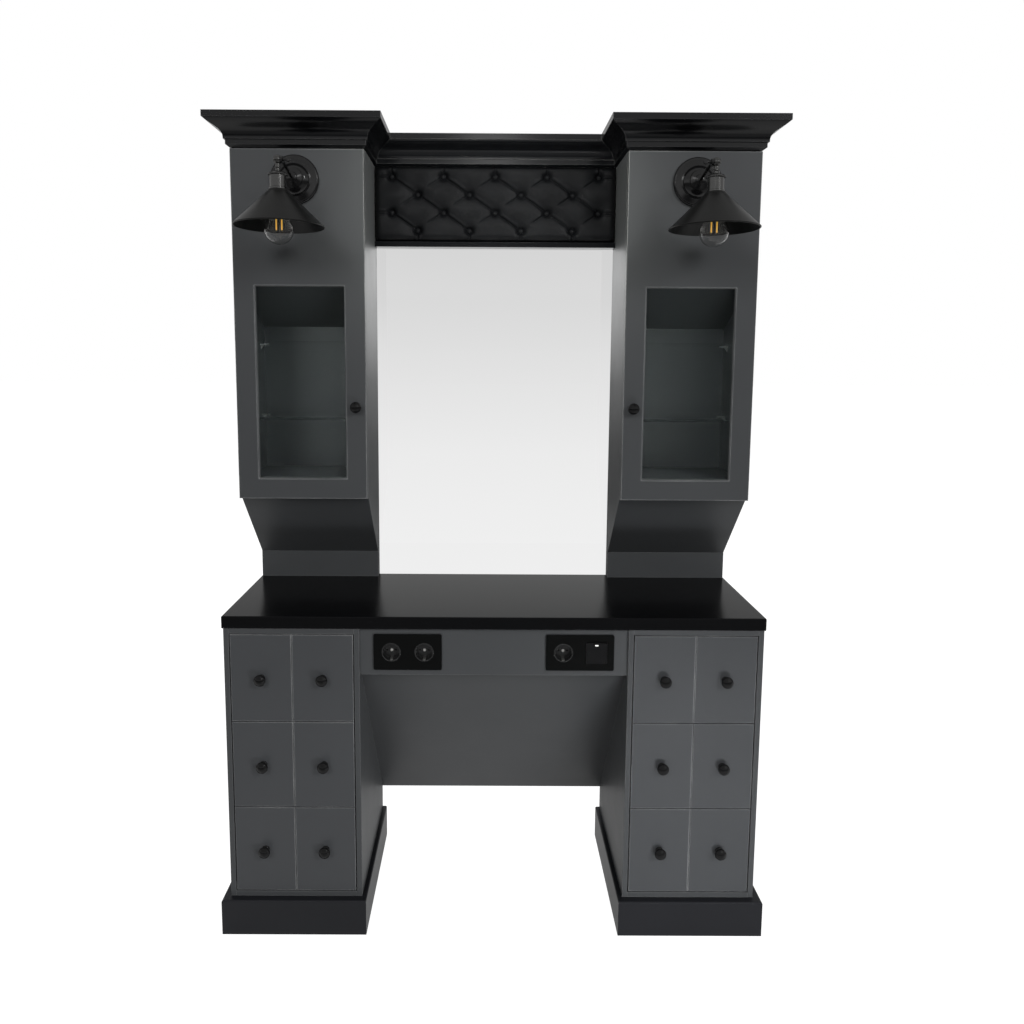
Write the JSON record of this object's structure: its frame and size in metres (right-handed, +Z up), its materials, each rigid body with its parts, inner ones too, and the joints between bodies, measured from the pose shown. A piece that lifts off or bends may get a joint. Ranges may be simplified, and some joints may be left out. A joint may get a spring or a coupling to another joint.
{
  "type": "salon styling station",
  "caption": "Salon styling station with drawer pedestals under a countertop, a tall mirror between glazed columns with lamps, a buttoned pad and a moulded crown.",
  "frame": {"origin": "centre of the bounding box on the floor", "axes": "+X along the station's width to its right as seen from the front, +Y to its back, +Z up"},
  "size_m": [1.285, 0.436, 1.843],
  "materials": {
    "lacquered_board": "satin anthracite lacquer on fibreboard",
    "black_moulding": "satin black lacquer",
    "drawer_board": "dark grey melamine",
    "runner_rail": "waxed hardwood",
    "black_knob": "gloss black enamel",
    "socket_plastic": "satin black thermoplastic",
    "rocker_plastic": "satin black thermoplastic",
    "silvered_mirror": "silvered float glass",
    "black_leatherette": "black leatherette over foam",
    "button_leatherette": "covered buttons",
    "clear_glass": "clear float glass",
    "bulb_glass": "clear blown glass",
    "hinge_steel": "black nickel",
    "lamp_enamel": "gloss black enamel",
    "holder_metal": "black nickel",
    "support_metal": "satin metal",
    "contact_metal": "nickel-plated contacts"
  },
  "bodies": {
    "station": {"plinth_frames": "lacquered_board", "pedestal_side_panels": "lacquered_board", "pedestal_backs": "lacquered_board", "pedestal_decks": "lacquered_board", "drawer_runners": "runner_rail", "countertop": "black_moulding", "apron": "lacquered_board", "modesty_panel": "lacquered_board", "socket_plates": "socket_plastic", "socket_inserts": "socket_plastic", "socket_contacts": "contact_metal", "column_side_panels": "lacquered_board", "column_cross_boards": "lacquered_board", "column_foot_boards": "lacquered_board", "upper_back_board": "lacquered_board", "crown_mouldings": "black_moulding", "mirror_glass": "silvered_mirror", "buttoned_pad": "black_leatherette", "pad_buttons": "button_leatherette", "pad_trim_bar": "black_moulding", "glass_shelves": "clear_glass", "shelf_supports": "support_metal", "door_hinge_fixed_leaves": "hinge_steel"},
    "rocker": {"rocker_switch": "rocker_plastic"},
    "left_door_leaf": {"left_door": "lacquered_board", "left_door_glass": "clear_glass", "left_door_knob": "black_knob", "left_door_hinge_leaves": "hinge_steel", "left_lamp_bracket": "lamp_enamel"},
    "left_lamp_head": {"left_lamp_holder": "holder_metal", "left_lamp_shade": "lamp_enamel", "left_lamp_bulb": "bulb_glass"},
    "left_lamp_clamp": {"left_lamp_thumbscrew": "lamp_enamel"},
    "left_drawer_1": {"left_drawer_1_front": "lacquered_board", "left_drawer_1_box": "drawer_board", "left_drawer_1_knobs": "black_knob"},
    "left_drawer_2": {"left_drawer_2_front": "lacquered_board", "left_drawer_2_box": "drawer_board", "left_drawer_2_knobs": "black_knob"},
    "left_drawer_3": {"left_drawer_3_front": "lacquered_board", "left_drawer_3_box": "drawer_board", "left_drawer_3_knobs": "black_knob"},
    "right_door_leaf": {"right_door": "lacquered_board", "right_door_glass": "clear_glass", "right_door_knob": "black_knob", "right_door_hinge_leaves": "hinge_steel", "right_lamp_bracket": "lamp_enamel"},
    "right_lamp_head": {"right_lamp_holder": "holder_metal", "right_lamp_shade": "lamp_enamel", "right_lamp_bulb": "bulb_glass"},
    "right_lamp_clamp": {"right_lamp_thumbscrew": "lamp_enamel"},
    "right_drawer_1": {"right_drawer_1_front": "lacquered_board", "right_drawer_1_box": "drawer_board", "right_drawer_1_knobs": "black_knob"},
    "right_drawer_2": {"right_drawer_2_front": "lacquered_board", "right_drawer_2_box": "drawer_board", "right_drawer_2_knobs": "black_knob"},
    "right_drawer_3": {"right_drawer_3_front": "lacquered_board", "right_drawer_3_box": "drawer_board", "right_drawer_3_knobs": "black_knob"}
  },
  "joints": [
    {"name": "left_drawer_1_slide", "type": "slide", "parent": "station", "child": "left_drawer_1", "axis": [0, -1, 0], "range_m": [0, 0.24]},
    {"name": "left_drawer_2_slide", "type": "slide", "parent": "station", "child": "left_drawer_2", "axis": [0, -1, 0], "range_m": [0, 0.24]},
    {"name": "left_drawer_3_slide", "type": "slide", "parent": "station", "child": "left_drawer_3", "axis": [0, -1, 0], "range_m": [0, 0.24]},
    {"name": "left_door_hinge", "type": "hinge", "parent": "station", "child": "left_door_leaf", "pos_m": [-0.6005, 0.0295, 1.3765], "axis": [0, 0, -1], "range_deg": [0, 100]},
    {"name": "left_lamp_tilt", "type": "hinge", "parent": "left_door_leaf", "child": "left_lamp_head", "pos_m": [-0.4525, -0.125, 1.7155], "axis": [-1, 0, 0], "range_deg": [-20, 60]},
    {"name": "left_thumbscrew_turn", "type": "hinge", "parent": "left_door_leaf", "child": "left_lamp_clamp", "pos_m": [-0.4367, -0.125, 1.7155], "axis": [1, 0, 0], "range_deg": [0, 180]},
    {"name": "right_drawer_1_slide", "type": "slide", "parent": "station", "child": "right_drawer_1", "axis": [0, -1, 0], "range_m": [0, 0.24]},
    {"name": "right_drawer_2_slide", "type": "slide", "parent": "station", "child": "right_drawer_2", "axis": [0, -1, 0], "range_m": [0, 0.24]},
    {"name": "right_drawer_3_slide", "type": "slide", "parent": "station", "child": "right_drawer_3", "axis": [0, -1, 0], "range_m": [0, 0.24]},
    {"name": "right_door_hinge", "type": "hinge", "parent": "station", "child": "right_door_leaf", "pos_m": [0.6005, 0.0295, 1.3765], "axis": [0, 0, 1], "range_deg": [0, 100]},
    {"name": "right_lamp_tilt", "type": "hinge", "parent": "right_door_leaf", "child": "right_lamp_head", "pos_m": [0.4525, -0.125, 1.7155], "axis": [-1, 0, 0], "range_deg": [-20, 60]},
    {"name": "right_thumbscrew_turn", "type": "hinge", "parent": "right_door_leaf", "child": "right_lamp_clamp", "pos_m": [0.4367, -0.125, 1.7155], "axis": [-1, 0, 0], "range_deg": [0, 180]},
    {"name": "rocker_press", "type": "hinge", "parent": "station", "child": "rocker", "pos_m": [0.2275, -0.112, 0.661], "axis": [-1, 0, 0], "range_deg": [0, 4]}
  ]
}
